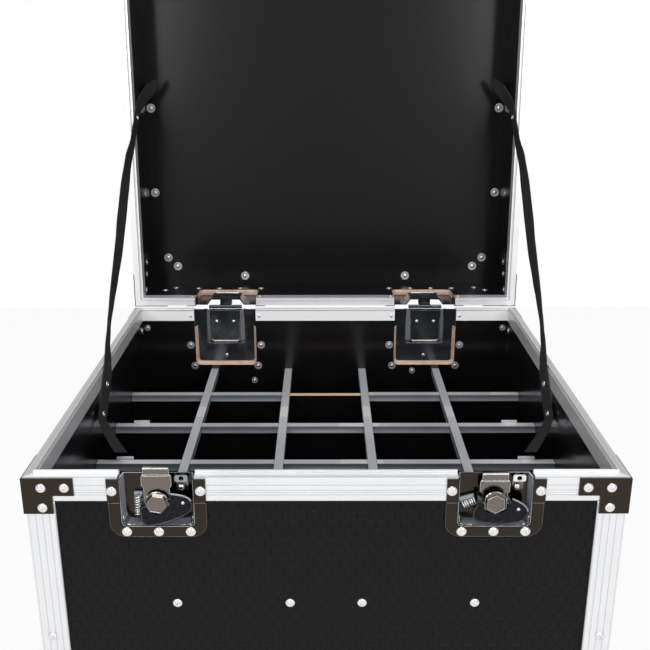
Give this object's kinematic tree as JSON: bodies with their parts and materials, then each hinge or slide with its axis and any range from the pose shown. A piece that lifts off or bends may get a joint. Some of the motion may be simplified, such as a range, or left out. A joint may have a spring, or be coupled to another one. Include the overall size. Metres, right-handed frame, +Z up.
{
  "type": "mic stand case",
  "caption": "Upright wheeled road case, divided into tall cells for mic stands, with a hinged lid on straps, recessed butterfly latches and sprung side handles.",
  "frame": {"origin": "on the floor under the wheels, under the middle of the case's extent with the lid open", "axes": "+Z up, the latches' front towards -Y, +X to the right as seen from the front"},
  "size_m": [0.619, 0.732, 1.6314],
  "materials": {
    "laminate": "satin",
    "aluminium": "satin anodised",
    "dark_chrome": "polished",
    "zinc": "bright zinc plate",
    "tyre": "matt",
    "grip": "matt",
    "webbing": "woven"
  },
  "bodies": {
    "case": {"ball_corner_front_left": "dark_chrome", "ball_corner_front_right": "dark_chrome", "ball_corner_rear_left": "dark_chrome", "ball_corner_rear_right": "dark_chrome", "base_bottom_board": "laminate", "base_edge_frame": "aluminium", "base_front_board": "laminate", "base_left_board": "laminate", "base_rear_board": "laminate", "base_right_board": "laminate", "base_rim_front": "aluminium", "base_rim_left": "aluminium", "base_rim_rear": "aluminium", "base_rim_right": "aluminium", "corner_brace_left": "dark_chrome", "corner_brace_right": "dark_chrome", "divider_front_to_rear_1": "laminate", "divider_front_to_rear_2": "laminate", "divider_front_to_rear_3": "laminate", "divider_front_to_rear_4": "laminate", "divider_side_to_side_1": "laminate", "divider_side_to_side_2": "laminate", "divider_side_to_side_3": "laminate", "divider_side_to_side_4": "laminate", "handle_dish_left": "dark_chrome", "handle_dish_right": "dark_chrome", "hinge_dish_left": "dark_chrome", "hinge_dish_right": "dark_chrome", "latch_dish_left": "dark_chrome", "latch_dish_right": "dark_chrome", "strap_left": "webbing", "strap_right": "webbing"},
    "lid": {"latch_catch_left": "dark_chrome", "latch_catch_right": "dark_chrome", "lid_edge_frame": "aluminium", "lid_hinge_dish_left": "dark_chrome", "lid_hinge_dish_right": "dark_chrome", "lid_rim_front": "aluminium", "lid_rim_left": "aluminium", "lid_rim_rear": "aluminium", "lid_rim_right": "aluminium", "lid_top_board": "laminate", "lid_wall_boards": "laminate"},
    "caster_fork_front_left": {"caster_fork_front_left": "zinc"},
    "caster_fork_front_right": {"caster_fork_front_right": "zinc"},
    "caster_fork_rear_left": {"caster_fork_rear_left": "zinc"},
    "caster_fork_rear_right": {"caster_fork_rear_right": "zinc"},
    "caster_wheel_front_left": {"caster_wheel_front_left": "tyre"},
    "caster_wheel_front_right": {"caster_wheel_front_right": "tyre"},
    "caster_wheel_rear_left": {"caster_wheel_rear_left": "tyre"},
    "caster_wheel_rear_right": {"caster_wheel_rear_right": "tyre"},
    "handle_bail_left": {"handle_bail_left": "grip"},
    "handle_bail_right": {"handle_bail_right": "grip"},
    "latch_crank_left": {"latch_crank_left": "dark_chrome"},
    "latch_crank_right": {"latch_crank_right": "dark_chrome"},
    "latch_hook_left": {"latch_hook_left": "dark_chrome"},
    "latch_hook_right": {"latch_hook_right": "dark_chrome"},
    "latch_wing_left": {"latch_wing_left": "dark_chrome"},
    "latch_wing_right": {"latch_wing_right": "dark_chrome"}
  },
  "joints": [
    {"name": "lid_hinge", "type": "hinge", "parent": "case", "child": "lid", "pos_m": [0, 0.21181, 1.05825], "axis": [1, 0, 0], "range_deg": [0, 93], "deforming": ["strap_left", "strap_right"]},
    {"name": "crank_turn_left", "type": "hinge", "parent": "case", "child": "latch_crank_left", "pos_m": [-0.17129, -0.36039, 1.029], "axis": [0, 1, 0], "range_deg": [-160.02, 20.02]},
    {"name": "hook_slide_left", "type": "slide", "parent": "case", "child": "latch_hook_left", "axis": [0, -0.3746, 0.9272], "range_m": [-0.00901, 0.00113]},
    {"name": "wing_fold_left", "type": "hinge", "parent": "latch_crank_left", "child": "latch_wing_left", "pos_m": [-0.17129, -0.36119, 1.029], "axis": [-0.9397, 0, -0.342], "range_deg": [0, 180]},
    {"name": "bail_swing_left", "type": "hinge", "parent": "case", "child": "handle_bail_left", "pos_m": [-0.298, -0.07539, 0.752], "axis": [0, 1, 0], "range_deg": [0, 90], "stiffness_Nm_per_rad": 0.2, "springref_deg": -22.92},
    {"name": "crank_turn_right", "type": "hinge", "parent": "case", "child": "latch_crank_right", "pos_m": [0.17129, -0.36039, 1.029], "axis": [0, 1, 0], "range_deg": [0, 180.02]},
    {"name": "hook_slide_right", "type": "slide", "parent": "case", "child": "latch_hook_right", "axis": [0, -0.3746, 0.9272], "range_m": [0, 0.01014]},
    {"name": "wing_fold_right", "type": "hinge", "parent": "latch_crank_right", "child": "latch_wing_right", "pos_m": [0.17129, -0.36119, 1.029], "axis": [-1, 0, 0], "range_deg": [0, 180]},
    {"name": "bail_swing_right", "type": "hinge", "parent": "case", "child": "handle_bail_right", "pos_m": [0.298, -0.07539, 0.752], "axis": [0, -1, 0], "range_deg": [0, 90], "stiffness_Nm_per_rad": 0.2, "springref_deg": -22.92},
    {"name": "caster_swivel_front_left", "type": "hinge", "parent": "case", "child": "caster_fork_front_left", "pos_m": [-0.2215, -0.28539, 0.1268], "axis": [0, 0, 1], "continuous": true},
    {"name": "wheel_turn_front_left", "type": "hinge", "parent": "caster_fork_front_left", "child": "caster_wheel_front_left", "pos_m": [-0.2215, -0.25139, 0.05], "axis": [1, 0, 0], "continuous": true},
    {"name": "caster_swivel_front_right", "type": "hinge", "parent": "case", "child": "caster_fork_front_right", "pos_m": [0.2215, -0.28539, 0.1268], "axis": [0, 0, 1], "continuous": true},
    {"name": "wheel_turn_front_right", "type": "hinge", "parent": "caster_fork_front_right", "child": "caster_wheel_front_right", "pos_m": [0.2215, -0.25139, 0.05], "axis": [1, 0, 0], "continuous": true},
    {"name": "caster_swivel_rear_left", "type": "hinge", "parent": "case", "child": "caster_fork_rear_left", "pos_m": [-0.2215, 0.13461, 0.1268], "axis": [0, 0, 1], "continuous": true},
    {"name": "wheel_turn_rear_left", "type": "hinge", "parent": "caster_fork_rear_left", "child": "caster_wheel_rear_left", "pos_m": [-0.2215, 0.16861, 0.05], "axis": [1, 0, 0], "continuous": true},
    {"name": "caster_swivel_rear_right", "type": "hinge", "parent": "case", "child": "caster_fork_rear_right", "pos_m": [0.2215, 0.13461, 0.1268], "axis": [0, 0, 1], "continuous": true},
    {"name": "wheel_turn_rear_right", "type": "hinge", "parent": "caster_fork_rear_right", "child": "caster_wheel_rear_right", "pos_m": [0.2215, 0.16861, 0.05], "axis": [1, 0, 0], "continuous": true}
  ],
  "couplings": [
    {"joint": "crank_turn_left", "follows": "hook_slide_left", "rad_per_m": 309.88},
    {"joint": "crank_turn_right", "follows": "hook_slide_right", "rad_per_m": 309.88}
  ]
}
